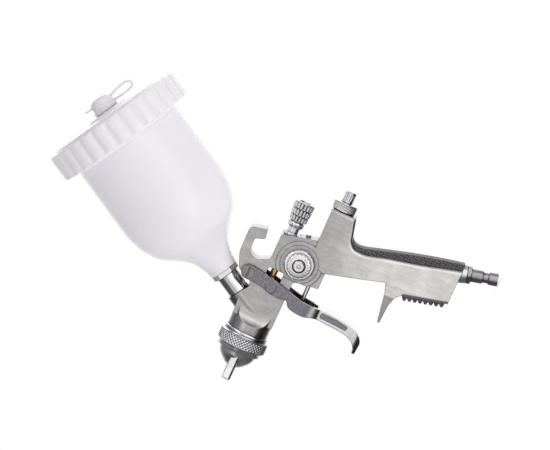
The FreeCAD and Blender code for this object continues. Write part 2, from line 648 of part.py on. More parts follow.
def make_air_plug():
    return turned([(0, 3.4), (0, 4.8), (6.4, 4.8), (7.4, 3.9), (10.4, 3.9), (11.4, 4.9), (19.6, 4.9),
                   (19.6, 5.0), (25.5, 5.0), (25.5, 3.0), (6.0, 3.0), (5.0, 3.4)], MOUTH, UP_HANDLE)


# ---------------------------------------------------------------- cup

def make_cup_inlet_adapter():
    return turned([(-13.0, 4.6), (-13.0, 7.0), (-5.0, 7.0), (-5.0, 7.8), (-4.7, 8.05), (9.7, 8.05),
                   (10.0, 7.8),
                   (10.0, 6.5), (20.0, 6.5), (20.0, 5.0), (-8.0, 5.0), (-8.5, 4.6)], CUP_BASE, CUP_AXIS)


def make_cup_collar():
    nut = hexagon(cup_point(10.05), CUP_AXIS, 18.4, 3.95, 0)
    nut = nut.common(turned([(10.05, 0), (10.05, 9.8), (10.7, 10.5), (14.0, 10.5), (14.0, 0)],
                            CUP_BASE, CUP_AXIS))
    sleeve = rod(cup_point(14.0), CUP_AXIS, 8.6, 10.0)
    collar = nut.fuse(sleeve)
    return collar.cut(rod(cup_point(9), CUP_AXIS, 6.5 + FIT, 20)).removeSplitter()


def make_cup_gasket():
    return turned([(20.0, 5.6), (20.0, 6.4), (20.8, 6.4), (20.8, 5.6)], CUP_BASE, CUP_AXIS)


def make_cup_filter():
    """Strainer thimble standing in the cup outlet, with a rim on the sleeve."""
    shell = turned([(21.0, 4.0), (21.0, 4.9), (24.0, 5.2), (24.0, 8.2), (24.8, 8.2), (25.0, 5.4),
                    (40.0, 4.4), (40.6, 3.8), (40.6, 0), (39.8, 0), (39.6, 3.6), (25.2, 4.6), (21.8, 4.0)],
                   CUP_BASE, CUP_AXIS)
    return shell


CUP_OUTER = [(14.05, 10.8), (20, 11.6), (25, 13.2), (30, 15.5), (35, 19.5), (40, 25.5), (45, 31.5),
             (50, 35.5),
             (60, 40.3), (75, CUP_R)]


def smooth_profile(points):
    """Spline through (t, r) points, set in the plane of revolution."""
    curve = Part.BSplineCurve()
    curve.interpolate([V(r, 0, t) for t, r in points])
    return curve.toShape()


def make_cup():
    inner = [(t, r - WALL) for t, r in CUP_OUTER[2:]]
    inner[0] = (25.6, 11.2)
    out = smooth_profile(CUP_OUTER)
    ins = smooth_profile(inner)
    rim = [(75, CUP_R), (131.0, CUP_R), (133.2, 50.4), (138.0, 50.4), (138.6, 51.3), (140.4, 51.3),
           (141.0, 50.4),
           (149.0, 50.4), (149.0, 48.9), (134.6, 48.9), (131.6, CUP_R - WALL), (75, CUP_R - WALL)]
    edges = [out]
    for a, b in zip(rim, rim[1:]):
        edges.append(Part.makeLine(V(a[1], 0, a[0]), V(b[1], 0, b[0])))
    edges.append(ins)
    foot = [inner[0], (25.6, 8.6), (14.05, 8.6), CUP_OUTER[0]]
    for a, b in zip(foot, foot[1:]):
        edges.append(Part.makeLine(V(a[1], 0, a[0]), V(b[1], 0, b[0])))
    wire = Part.Wire(Part.__sortEdges__(edges))
    solid = Part.Face(wire).revolve(V(0, 0, 0), V(0, 0, 1), 360)
    if solid.Volume < 0:
        solid.reverse()
    solid.Placement = FreeCAD.Placement(CUP_BASE, FreeCAD.Rotation(V(0, 0, 1), CUP_AXIS))
    return solid


def make_lid():
    """Screw lid with scalloped grip ribs and a raised centre."""
    step = 2 * math.pi / LID_RIBS
    edges = []
    low_r = LID_R - 1.5
    for i in range(LID_RIBS):
        a = i * step
        marks = [(low_r, a), (LID_R - 0.2, a + 0.22 * step), (LID_R, a + 0.5 * step),
                 (LID_R - 0.2, a + 0.78 * step), (low_r, a + step)]
        p = [V(r * math.cos(b), r * math.sin(b), 0) for r, b in marks]
        edges.append(Part.makeLine(p[0], p[1]))
        edges.append(Part.Arc(p[1], p[2], p[3]).toShape())
        edges.append(Part.makeLine(p[3], p[4]))
    skirt = Part.Face(Part.Wire(edges)).extrude(V(0, 0, LID_TOP - LID_LOW))
    skirt.translate(V(0, 0, LID_LOW))
    skirt = skirt.common(turned([(LID_LOW, 0), (LID_LOW, LID_R + 1), (LID_TOP - 1.6, LID_R + 1),
                                 (LID_TOP, LID_R - 1.0),
                                 (LID_TOP, 0)], V(0, 0, 0), V(0, 0, 1)))
    crown = turned([(150, 0), (150, 48.5), (LID_TOP, 48.5), (155.2, 46.8), (155.6, 30.0),
                    (156.4, 17.0), (157.4, 16.0),
                    (157.4, 0)], V(0, 0, 0), V(0, 0, 1))
    hollow = turned([(130, 0), (130, 51.6), (150.5, 51.6), (150.5, 0)], V(0, 0, 0), V(0, 0, 1))
    vent = Part.makeCylinder(3.9 + FIT, 12, V(0, 0, 148))
    lid = skirt.fuse(crown).cut(hollow).cut(vent)
    lid.Placement = FreeCAD.Placement(CUP_BASE, FreeCAD.Rotation(V(0, 0, 1), CUP_AXIS))
    return lid.removeSplitter()


def make_lid_gasket():
    return turned([(149.05, 45.5), (149.05, 50.2), (150.45, 50.2), (150.45, 45.5)], CUP_BASE, CUP_AXIS)


def make_vent_plug():
    """Push-in vent cap with a pull loop to the rear and a small lip to the front."""
    z = V(0, 0, 1)
    head = turned([(147.5, 0), (147.5, 3.0), (149.5, 3.9), (157.5, 3.9), (157.5, 9.0), (158.2, 9.6),
                   (160.2, 9.6), (160.8, 8.9), (164.0, 8.8), (166.4, 8.2), (168.0, 6.4), (169.0, 3.4),
                   (169.2, 0)], V(0, 0, 0), z)
    centre = V(24.0, 0, 163.4)
    bend = 2.9
    ends = []
    for z0, side in ((164.4, 1), (161.2, -1)):
        start = V(6.5, 0, z0)
        gap = centre - start
        lift = math.atan2(gap.z, gap.x) + side * math.asin(bend / gap.Length)
        reach = math.sqrt(gap.Length ** 2 - bend ** 2)
        ends.append((start, start + V(math.cos(lift), 0, math.sin(lift)) * reach))
    (start, high), (finish, low) = ends
    far = centre + (centre - (start + finish) * 0.5).normalize() * bend
    path = Part.Wire([Part.makeLine(start, high),
                      Part.Arc(high, far, low).toShape(),
                      Part.makeLine(low, finish)])
    section = Part.Wire(Part.makeCircle(0.85, start, high - start))
    loop = path.makePipeShell([section], True, True)
    lip = Part.makeBox(5.5, 6.0, 1.2, V(-14.0, -3.0, 164.2))
    solid = head.fuse(loop).fuse(lip)
    solid.Placement = FreeCAD.Placement(CUP_BASE, FreeCAD.Rotation(V(0, 0, 1), CUP_AXIS))
    return solid.removeSplitter()


# ---------------------------------------------------------------- export

NODES = {
    "gun_body": make_body,
    "grip_back": make_grip_back,
    "grip_front": make_grip_front,
    "fluid_nozzle": make_fluid_nozzle,
    "nozzle_gasket": make_nozzle_gasket,
    "air_distributor": make_air_distributor,
    "air_cap": make_air_cap,
    "cap_snap_ring": make_cap_snap_ring,
    "cap_ring": make_cap_ring,
    "needle": make_needle,
    "needle_collar": make_needle_collar,
    "needle_packing": make_needle_packing,
    "packing_nut": make_packing_nut,
    "needle_bushing": make_needle_bushing,
    "needle_spring": make_needle_spring,
    "needle_stop": make_needle_stop,
    "fluid_knob": make_fluid_knob,
    "guide_screw": make_guide_screw,
    "trigger": make_trigger,
    "trigger_pin": make_trigger_pin,
    "trigger_screw": make_trigger_screw,
    "air_stem": make_air_stem,
    "air_stem_packing": make_air_stem_packing,
    "air_valve_seat": make_air_valve_seat,
    "air_poppet": make_air_poppet,
    "air_valve_spring": make_air_valve_spring,
    "air_stop": make_air_stop,
    "air_valve_nut": make_air_valve_nut,
    "air_adjust_knob": make_air_adjust_knob,
    "fan_housing": make_fan_housing,
    "fan_spool": make_fan_spool,
    "fan_seal": make_fan_seal,
    "fan_dial": make_fan_dial,
    "fan_dial_screw": make_fan_dial_screw,
    "inlet_nut": make_inlet_nut,
    "air_plug": make_air_plug,
    "cup_inlet_adapter": make_cup_inlet_adapter,
    "cup_collar": make_cup_collar,
    "cup_gasket": make_cup_gasket,
    "cup_filter": make_cup_filter,
    "cup": make_cup,
    "lid": make_lid,
    "lid_gasket": make_lid_gasket,
    "vent_plug": make_vent_plug,
}

os.makedirs("parts", exist_ok=True)
for name, maker in NODES.items():
    shape = maker()
    if shape.ShapeType == "Compound" and len(shape.Solids) == 1:
        shape = shape.Solids[0]
    shape.translate(SHIFT)
    print(name, shape.ShapeType, len(shape.Solids), shape.isValid(), round(shape.Volume, 1))
    shape.exportStep("parts/" + name + ".step")
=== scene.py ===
import json
import math

import bmesh
import bpy
from mathutils import Matrix, Vector


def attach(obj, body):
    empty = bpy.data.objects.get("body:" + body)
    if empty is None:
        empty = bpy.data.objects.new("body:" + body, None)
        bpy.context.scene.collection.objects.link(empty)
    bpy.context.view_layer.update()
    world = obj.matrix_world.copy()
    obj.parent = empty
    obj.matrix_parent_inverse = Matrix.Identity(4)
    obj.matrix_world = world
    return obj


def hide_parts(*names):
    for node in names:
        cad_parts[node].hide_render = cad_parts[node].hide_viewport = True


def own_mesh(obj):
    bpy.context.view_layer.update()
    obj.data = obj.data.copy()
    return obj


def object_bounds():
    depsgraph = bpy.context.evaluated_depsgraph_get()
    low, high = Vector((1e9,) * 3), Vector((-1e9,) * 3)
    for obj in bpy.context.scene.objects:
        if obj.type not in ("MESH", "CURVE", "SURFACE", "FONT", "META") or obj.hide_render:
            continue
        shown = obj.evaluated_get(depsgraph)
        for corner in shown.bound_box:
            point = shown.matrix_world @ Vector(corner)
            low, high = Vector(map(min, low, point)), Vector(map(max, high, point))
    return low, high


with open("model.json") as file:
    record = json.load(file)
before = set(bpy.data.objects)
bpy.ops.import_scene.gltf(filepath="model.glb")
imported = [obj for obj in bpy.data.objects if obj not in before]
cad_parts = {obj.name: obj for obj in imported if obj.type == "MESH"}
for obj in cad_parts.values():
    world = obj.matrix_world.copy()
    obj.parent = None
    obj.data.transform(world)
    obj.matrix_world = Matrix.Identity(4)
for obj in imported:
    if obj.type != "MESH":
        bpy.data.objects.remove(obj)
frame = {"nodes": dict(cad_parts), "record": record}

CAD_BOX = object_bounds()
NODES = frame["nodes"]
MM = 0.001

# The row frame has its origin at the air plug's mouth. G(x, y, z) places a point given in
# millimetres from the fluid tip.
TIP = Vector((-138.7, 0.0, 150.0))


def G(x, y, z):
    return (TIP + Vector((x, y, z))) * MM


# millimetres from the fluid tip: the fan dial's centre, and where the cup's tilted axis starts
DIAL = (90.2, 0, -14.2)
CUP_TILT = math.radians(60.4)
CUP_DIR = Vector((math.cos(CUP_TILT), 0, math.sin(CUP_TILT)))
CUP_BASE = Vector((55.4, 0, 21.8))

# camera axes: the photograph's up and right in the row frame
TO_CAMERA = Vector((0.14, -1.0, 0.012)).normalized()
PHOTO_UP = Vector((0.911, 0, 0.413))
RIGHT = (-TO_CAMERA).cross(PHOTO_UP).normalized()
UP = RIGHT.cross(-TO_CAMERA).normalized()


# ---------------------------------------------------------------- materials

# sockets of a colour Mix node, whose names it shares with its other data types
MIX_A, MIX_B, MIX_RESULT = 6, 7, 2


class Graph:
    """Small helper to write node trees; place is the coordinate that its textures use."""

    def __init__(self, tree, place):
        self.tree = tree
        self.tree.nodes.clear()
        self.place = self.node("ShaderNodeTexCoord").outputs[place]

    def link(self, a, b):
        self.tree.links.new(a, b)

    def feed(self, socket, value):
        """Links an output to a socket, or sets the socket's own value."""
        if hasattr(value, "links"):
            self.link(value, socket)
        elif socket.type == "RGBA" and len(value) == 3:
            socket.default_value = (*value, 1)
        else:
            socket.default_value = value

    def node(self, kind, **values):
        """New node, with its settings and its sockets given by name."""
        n = self.tree.nodes.new(kind)
        for k, v in values.items():
            if hasattr(n, k):
                setattr(n, k, v)
            else:
                self.feed(n.inputs[k.replace("_", " ")], v)
        return n

    def mapping(self, scale, rotation):
        return self.node("ShaderNodeMapping", Vector=self.place, Scale=scale, Rotation=rotation).outputs[0]

    def noise(self, scale, detail=4.0, rough=0.5, vector=None, distortion=0.0):
        return self.node("ShaderNodeTexNoise", Scale=scale, Detail=detail, Roughness=rough,
                         Distortion=distortion, Vector=self.place if vector is None else vector).outputs[0]

    def remap(self, value, low, high, to_low, to_high):
        n = self.node("ShaderNodeMapRange")
        for socket, v in zip(n.inputs, (value, low, high, to_low, to_high)):
            self.feed(socket, v)
        return n.outputs[0]

    def ramp(self, value, stops):
        n = self.node("ShaderNodeValToRGB")
        points = n.color_ramp.elements
        while len(points) > 1:
            points.remove(points[-1])
        points[0].position = stops[0][0]
        points[0].color = (*stops[0][1], 1)
        for position, colour in stops[1:]:
            points.new(position).color = (*colour, 1)
        self.link(value, n.inputs[0])
        return n.outputs[0]

    def math(self, op, a, b=0.0):
        n = self.node("ShaderNodeMath", operation=op)
        self.feed(n.inputs[0], a)
        self.feed(n.inputs[1], b)
        return n.outputs[0]

    def weigh(self, a, share_a, b, share_b):
        return self.math("ADD", self.math("MULTIPLY", a, share_a), self.math("MULTIPLY", b, share_b))

    def dot(self, a, b):
        n = self.node("ShaderNodeVectorMath", operation="DOT_PRODUCT")
        self.feed(n.inputs[0], a)
        self.feed(n.inputs[1], b)
        return n.outputs["Value"]

    def mix(self, factor, a, b, blend="MIX"):
        n = self.node("ShaderNodeMix", data_type="RGBA", blend_type=blend)
        self.feed(n.inputs[0], factor)
        self.feed(n.inputs[MIX_A], a)
        self.feed(n.inputs[MIX_B], b)
        return n.outputs[MIX_RESULT]

    def mix_shader(self, factor, a, b):
        n = self.node("ShaderNodeMixShader")
        for socket, output in zip(n.inputs, (factor, a, b)):
            self.link(output, socket)
        return n.outputs[0]


class Material(Graph):
    """A material around one Principled BSDF, textured in object coordinates."""

    def __init__(self, name):
        self.mat = bpy.data.materials.new(name)
        self.mat.use_nodes = True
        super().__init__(self.mat.node_tree, "Object")
        self.out = self.node("ShaderNodeOutputMaterial")
        self.bsdf = self.node("ShaderNodeBsdfPrincipled")
        self.link(self.bsdf.outputs[0], self.out.inputs[0])

    def set(self, name, value):
        self.feed(self.bsdf.inputs[name], value)

    def base_colour(self):
        """What feeds the base colour so far."""
        return self.bsdf.inputs["Base Color"].links[0].from_socket

    def axis(self, index):
        """Position along one axis of the row frame, in metres."""
        return self.node("ShaderNodeSeparateXYZ", Vector=self.place).outputs[index]

    def openness(self, reach):
        """1 on open surface, lower in a recess that is narrower than reach."""
        return self.node("ShaderNodeAmbientOcclusion", samples=8, Distance=reach).outputs["AO"]

    def bevel(self, radius):
        return self.node("ShaderNodeBevel", samples=4, Radius=radius).outputs[0]

    def bump(self, height, distance, strength, normal):
        return self.node("ShaderNodeBump", Height=height, Distance=distance, Strength=strength,
                         Normal=normal).outputs[0]

    def moulded_grain(self, rough):
        """Fine moulded grain, which also varies the roughness."""
        fine = self.noise(1400.0, 3.0, 0.6)
        self.set("Roughness", self.remap(fine, 0.3, 0.7, rough - 0.05, rough + 0.06))
        return fine

    def carry_light(self, weight):
        """Lets a milky plastic carry light inside."""
        self.set("Subsurface Weight", weight)
        self.set("Subsurface Radius", (1.0, 0.95, 1.05))
        self.set("Subsurface Scale", 0.006)


def metal(name, colour, dark, rough, grain=(1, 1, 1), grain_scale=900.0, grain_depth=0.00002,
          edge=0.0004, spread=0.10, turn=(0, 0, 0), wave=0.0, recess_shade=0.35, reach=0.0016,
          outline=0.0, clouds=28.0):
    """Polished or brushed metal: cloudy colour, uneven roughness, fine grain and soft edges.

    grain stretches the brushing along the axes and turn rotates it; spread is how far the roughness
    strays; wave is the depth of soft dents; hollow is the brightness left by the painted shade in
    recesses narrower than reach; outline darkens the edges with painted shade. Lengths are in metres.
    """
    t = Material(name)
    t.set("Metallic", 1.0)
    cloud = t.noise(clouds, 5.0, 0.6, None, 0.8)
    streaks = t.noise(grain_scale * 0.35, 4.0, 0.6, t.mapping(grain, turn))
    unshaded = t.ramp(t.weigh(cloud, 0.6, streaks, 0.4), [(0.36, dark), (0.64, colour)])
    # painted shade: the colour is darkened in recesses narrower than reach
    painted_shade = t.remap(t.openness(reach), 0.35, 0.95, recess_shade, 1.0)
    normal = t.bevel(edge)
    # painted shade along the edges, where the bevelled normal turns away from the true normal
    if outline > 0:
        facing = t.dot(normal, t.node("ShaderNodeNewGeometry").outputs["Normal"])
        painted_shade = t.math("MULTIPLY", painted_shade, t.remap(facing, 0.80, 0.97, 1.0 - outline, 1.0))
    shade_rgb = t.node("ShaderNodeCombineColor")
    for channel in range(3):
        t.link(painted_shade, shade_rgb.inputs[channel])
    t.set("Base Color", t.mix(1.0, unshaded, shade_rgb.outputs[0], "MULTIPLY"))
    fine = t.noise(grain_scale, 3.0, 0.6, t.mapping(grain, turn))
    smudge = t.noise(70.0, 6.0, 0.65, None, 0.6)
    uneven = t.weigh(fine, 0.5, smudge, 0.5)
    t.set("Roughness", t.remap(uneven, 0.3, 0.7, max(rough - spread, 0.02), rough + spread))
    if wave > 0:
        normal = t.bump(t.noise(30.0, 2.0, 0.5), wave, 1.0, normal)
    t.set("Normal", t.bump(fine, grain_depth, 0.6, normal))
    return t


def plastic(name, colour, shade, rough):
    """Moulded plastic: slight colour clouds and a fine surface grain."""
    t = Material(name)
    t.set("Base Color", t.ramp(t.noise(18.0, 4.0, 0.6), [(0.3, shade), (0.7, colour)]))
    t.set("Normal", t.bump(t.moulded_grain(rough), 0.00002, 0.5, t.bevel(0.0004)))
    return t


def trigger_metal():
    """Bright polished lever whose upper plate and lever recess are painted dark as a painted dark
    reflection.
    """
    t = metal("trigger_alloy", (0.88, 0.87, 0.88), (0.70, 0.69, 0.71), 0.16, grain=(1, 5, 1),
              grain_scale=700.0, grain_depth=0.00001, edge=0.0011, spread=0.06)
    height = t.math("ADD", t.axis(2), t.math("MULTIPLY", t.noise(60.0), 0.003))
    upper_plate = t.remap(height, 0.1150, 0.1175, 0.0, 1.0)
    side = t.math("ABSOLUTE", t.axis(1))
    recess_floor = t.math("MULTIPLY", t.remap(side, 0.0068, 0.0067, 0.0, 1.0),
                          t.remap(side, 0.0064, 0.0065, 0.0, 1.0))
    # painted dark reflection: a dark colour on the upper plate and the lever recess that stands in for the
    # dark surroundings they reflect
    painted_dark_reflection = t.ramp(t.noise(500.0, 4.0, 0.6, t.mapping((1, 1, 5), (0, 0.2, 0))),
                    [(0.3, (0.16, 0.145, 0.17)), (0.7, (0.33, 0.31, 0.35))])
    t.set("Base Color", t.mix(t.math("MAXIMUM", upper_plate, recess_floor), t.base_colour(), painted_dark_reflection))
    return t


def grip_rubber():
    """Charcoal grip moulded with rows of small pips, with painted shade in the gaps between them."""
    t = Material("black_grip")
    t.moulded_grain(0.42)
    pips = t.node("ShaderNodeTexVoronoi", Vector=t.place, Scale=520.0, Randomness=0.35)
    distance = pips.outputs["Distance"]
    # painted shade: lighter on the pip tops, darker in the gaps between the pips
    t.set("Base Color", t.ramp(distance, [(0.15, (0.165, 0.150, 0.162)), (0.42, (0.085, 0.075, 0.084)),
                                          (0.62, (0.030, 0.026, 0.030))]))
    t.set("Normal", t.bump(t.remap(distance, 0.0, 0.7, 1.0, 0.0), 0.0005, 1.0, t.bevel(0.0006)))
    return t


def cup_plastic(name, colour, shade, rough, recess_shade, painted_glow):
    """Milky translucent plastic with a faint lavender cast; hollow scales its colour in recesses as painted
    shade, and glow is a painted glow that stands in for light coming through the plastic.
    """
    t = Material(name)
    milk = t.ramp(t.noise(12.0, 3.0, 0.5), [(0.3, shade), (0.7, colour)])
    # painted shade: the colour is scaled down in recesses
    is_open = t.remap(t.openness(0.004), 0.35, 0.90, 0.0, 1.0)
    t.set("Base Color", t.mix(is_open, tuple(c * recess_shade for c in colour), milk))
    t.set("Roughness", t.remap(t.noise(25.0, 3.0, 0.6), 0.3, 0.7, rough - 0.03, rough + 0.04))
    t.carry_light(0.25)
    t.set("Coat Weight", 0.35)
    t.set("Coat Roughness", 0.12)
    # painted glow: a faint emission that stands in for light coming through the milky plastic
    t.set("Emission Color", (0.93, 0.90, 1.0))
    t.set("Emission Strength", painted_glow)
    return t


def body_metal():
    """Polished casting with brushed clouds, and painted shade by height: darker around the dial and head,
    lighter on the grip.
    """
    t = metal("cast_alloy", (0.97, 0.95, 0.93), (0.68, 0.665, 0.66), 0.24, grain=(1, 1, 0.16),
              grain_scale=1100.0, grain_depth=0.000008, edge=0.0009, spread=0.06, turn=(0, 0.25, 0),
              wave=0.0006, recess_shade=0.25, reach=0.0024, outline=0.55, clouds=55.0)
    # painted shade by height: the casting gets darker towards the head and lighter towards the grip
    height = t.math("ADD", t.axis(2), t.math("MULTIPLY", t.noise(45.0), 0.016))
    painted_shade_by_height = t.ramp(t.remap(height, 0.095, 0.135, 0.0, 1.0),
                  [(0.0, (0.90, 0.89, 0.88)), (0.4, (0.80, 0.80, 0.80)), (0.75, (0.60, 0.595, 0.605)),
                   (1.0, (0.58, 0.575, 0.58))])
    t.set("Base Color", t.mix(1.0, t.base_colour(), painted_shade_by_height, "MULTIPLY"))
    return t


ALLOY = body_metal().mat
TRIGGER = trigger_metal().mat
CHROME = metal("chrome_plate", (0.90, 0.90, 0.92), (0.74, 0.73, 0.77), 0.09, grain_scale=600.0,
               grain_depth=0.00001, spread=0.04, recess_shade=0.10, reach=0.0012).mat
DIAL_PLATE = metal("dial_plate", (0.90, 0.89, 0.88), (0.70, 0.69, 0.68), 0.16, grain_scale=600.0,
                   grain_depth=0.00001, edge=0.0003, spread=0.04, recess_shade=0.06, reach=0.0012,
                   outline=0.4).mat
TURNED = metal("turned_steel", (0.78, 0.78, 0.78), (0.60, 0.60, 0.61), 0.20, grain=(8, 1, 1),
               grain_depth=0.00001, edge=0.0003).mat
SPRING = metal("spring_steel", (0.50, 0.50, 0.52), (0.34, 0.34, 0.36), 0.3).mat
BRASS = metal("brass", (0.80, 0.52, 0.18), (0.52, 0.32, 0.10), 0.20, grain=(6, 1, 1),
              grain_depth=0.00001, edge=0.0003).mat
NICKEL = metal("nickel_brass", (0.80, 0.80, 0.80), (0.62, 0.62, 0.63), 0.16, grain_scale=600.0,
               grain_depth=0.00001).mat
DARK = metal("dark_metal", (0.52, 0.50, 0.54), (0.30, 0.285, 0.32), 0.10, grain_scale=600.0,
             grain_depth=0.00001, spread=0.05, recess_shade=0.08, reach=0.0014).mat
CAP_METAL = metal("air_cap_metal", (0.90, 0.89, 0.90), (0.72, 0.71, 0.73), 0.20, grain_scale=500.0,
                  grain_depth=0.00001, edge=0.0005, spread=0.06, recess_shade=0.15).mat
GRIP = grip_rubber().mat
SEAL = plastic("seal", (0.03, 0.03, 0.03), (0.02, 0.02, 0.02), 0.6).mat
PTFE = plastic("ptfe", (0.9, 0.9, 0.88), (0.82, 0.82, 0.8), 0.4).mat
CUP = cup_plastic("cup_plastic", (0.83, 0.805, 0.845), (0.80, 0.775, 0.815), 0.22, recess_shade=1.0, painted_glow=0.14).mat
LID = cup_plastic("lid_plastic", (0.85, 0.825, 0.84), (0.82, 0.795, 0.81), 0.24, recess_shade=0.52, painted_glow=0.12).mat
PIVOT = metal("pivot_head", (0.40, 0.37, 0.36), (0.22, 0.205, 0.20), 0.26, grain_scale=700.0,
              edge=0.0006).mat

BY_SLOT = {
    "cast_alloy": ALLOY, "trigger_alloy": TRIGGER, "chrome_plate": CHROME, "turned_steel": TURNED,
    "spring_steel": SPRING, "brass": BRASS, "nickel_brass": NICKEL, "black_grip": GRIP, "dark_metal": DARK,
    "seal": SEAL, "ptfe": PTFE, "cup_plastic": CUP, "lid_plastic": LID,
}


def paint(obj, material):
    obj.data.materials.clear()
    obj.data.materials.append(material)


SLOT_OF = {s["node"]: s["material_slot"] for s in frame["record"]["subparts"]}
for name, obj in NODES.items():
    paint(obj, BY_SLOT[SLOT_OF[name]])
paint(NODES["air_cap"], CAP_METAL)
paint(NODES["fan_dial_screw"], DIAL_PLATE)
paint(NODES["trigger_screw"], PIVOT)
paint(NODES["trigger_pin"], PIVOT)


# ---------------------------------------------------------------- mesh helpers

def frame_matrix(at, along):
    """Matrix from a local frame, whose Z runs along the axis, to the row frame in metres."""
    z = Vector(along).normalized()
    x = Vector((0, 1, 0)).cross(z)
    if x.length < 1e-6:
        x = Vector((1, 0, 0))
    x.normalize()
    y = z.cross(x)
    m = Matrix((x, y, z)).transposed().to_4x4()
    m.translation = (TIP + Vector(at)) * MM
    return m @ Matrix.Scale(MM, 4)


def finish_mesh(name, bm, material, body, node, sharp=35.0):
    """Turns a bmesh in the row frame into a piece that rides on a body in place of a CAD node.

    sharp is the angle in degrees above which an edge stays hard.
    """
    bmesh.ops.remove_doubles(bm, verts=bm.verts, dist=1e-7)
    bmesh.ops.recalc_face_normals(bm, faces=bm.faces)
    limit = math.radians(sharp)
    for f in bm.faces:
        f.smooth = True
    for e in bm.edges:
        if len(e.link_faces) == 2 and e.calc_face_angle(0.0) > limit:
            e.smooth = False
    mesh = bpy.data.meshes.new(name)
    bm.to_mesh(mesh)
    bm.free()
    obj = bpy.data.objects.new(name, mesh)
    bpy.context.scene.collection.objects.link(obj)
    mesh.materials.append(material)
    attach(obj, body)
    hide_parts(node)
    return obj


def densify(profile, step):
    """Adds points along straight runs so that no run is longer than step."""
    out = []
    count = len(profile)
    for i in range(count - 1):
        a, b = profile[i], profile[i + 1]
        n = max(1, int(math.ceil(math.hypot(b[0] - a[0], b[1] - a[1]) / step)))
        for k in range(n):
            out.append((a[0] + (b[0] - a[0]) * k / n, a[1] + (b[1] - a[1]) * k / n))
    out.append(profile[-1])
    return out


def curve_through(points, per=6):
    """Catmull-Rom points through (t, r) points."""
    out = []
    n = len(points)
    for i in range(n - 1):
        p0, p1, p2, p3 = points[max(i - 1, 0)], points[i], points[i + 1], points[min(i + 2, n - 1)]
        for k in range(per):
            u = k / per
            q = []
            for d in range(2):
                a, b, c, e = p0[d], p1[d], p2[d], p3[d]
                q.append(0.5 * (2 * b + (c - a) * u + (2 * a - 5 * b + 4 * c - e) * u * u
                                + (3 * b - a - 3 * c + e) * u ** 3))
            out.append(tuple(q))
    out.append(points[-1])
    return out


def add_lathe(bm, profile, matrix, segments=96, wave=None, closed=False):
    """Surface of revolution of (t, r) points; wave(angle, t, r) gives the real radius."""
    rings = []
    for t, r in profile:
        if r < 1e-6:
            rings.append([bm.verts.new(matrix @ Vector((0, 0, t)))])
            continue
        ring = []
        for s in range(segments):
            a = 2 * math.pi * s / segments
            q = wave(a, t, r) if wave else r
            ring.append(bm.verts.new(matrix @ Vector((q * math.cos(a), q * math.sin(a), t))))
        rings.append(ring)
    pairs = list(zip(rings, rings[1:]))
    if closed:
        pairs.append((rings[-1], rings[0]))
    for lo, hi in pairs:
        for s in range(segments):
            n = (s + 1) % segments
            corners = [lo[s % len(lo)], lo[n % len(lo)], hi[n % len(hi)], hi[s % len(hi)]]
            unique = []
            for v in corners:
                if v not in unique:
                    unique.append(v)
            if len(unique) >= 3:
                bm.faces.new(unique)


def add_tube(bm, path, radius, matrix, sides):
    """Round tube with closed ends along a list of local points."""
    points = [Vector(p) for p in path]
    last = len(points) - 1
    rings = []
    normal = None
    for i, p in enumerate(points):
        along = (points[min(i + 1, last)] - points[max(i - 1, 0)]).normalized()
        if normal is None:
            normal = along.orthogonal().normalized()
        normal = (normal - along * normal.dot(along)).normalized()
        side = along.cross(normal)
        ring = []
        for s in range(sides):
            a = 2 * math.pi * s / sides
            ring.append(bm.verts.new(matrix @ (p + (normal * math.cos(a) + side * math.sin(a)) * radius)))
        rings.append(ring)
    for lo, hi in zip(rings, rings[1:]):
        for s in range(sides):
            n = (s + 1) % sides
            bm.faces.new((lo[s], lo[n], hi[n], hi[s]))
    bm.faces.new(rings[0])
    bm.faces.new(list(reversed(rings[-1])))


def add_prism(bm, outline, t0, t1, matrix):
    """Block over a closed outline of local (x, y) points, from height t0 to t1."""
    low = [bm.verts.new(matrix @ Vector((x, y, t0))) for x, y in outline]
    high = [bm.verts.new(matrix @ Vector((x, y, t1))) for x, y in outline]
    bm.faces.new(low)
    bm.faces.new(high)
    for i in range(len(outline)):
        n = (i + 1) % len(outline)
        bm.faces.new((low[i], low[n], high[n], high[i]))


X_AXIS = (1, 0, 0)


# ---------------------------------------------------------------- cup, lid and vent plug

def make_cup():
    """Cup as one closed section: outside, threaded rim, inside and foot."""
    outer = curve_through([(14.05, 10.8), (20, 11.6), (25, 13.2), (30, 15.5), (35, 19.5), (40, 25.5),
                           (45, 31.5), (50, 35.5), (60, 40.3), (75, 43.3)], 6)
    outer += densify([(75, 43.3), (130.6, 43.3)], 8.0)[1:]
    rim = [(131.4, 43.7), (133.0, 50.1), (133.5, 50.4), (138.0, 50.4), (138.6, 51.3), (140.4, 51.3),
           (141.0, 50.4), (148.7, 50.4), (149.0, 50.1), (149.0, 49.1), (148.7, 48.9), (134.9, 48.9),
           (132.0, 42.1), (131.0, 41.9)]
    inner = [(131.0, 41.9), (100, 41.9), (75, 41.9)]
    back = curve_through([(75, 41.9), (60, 38.9), (50, 34.1), (45, 30.1), (40, 24.1), (35, 18.1), (30, 14.1),
                          (25.6, 11.2)], 6)
    foot = [(25.6, 8.6), (14.05, 8.6)]
    profile = outer + rim + inner[1:] + back[1:] + foot
    bm = bmesh.new()
    add_lathe(bm, profile, frame_matrix(CUP_BASE, CUP_DIR), 128, None, True)
    return finish_mesh("cup_shell", bm, CUP, "cup", "cup")


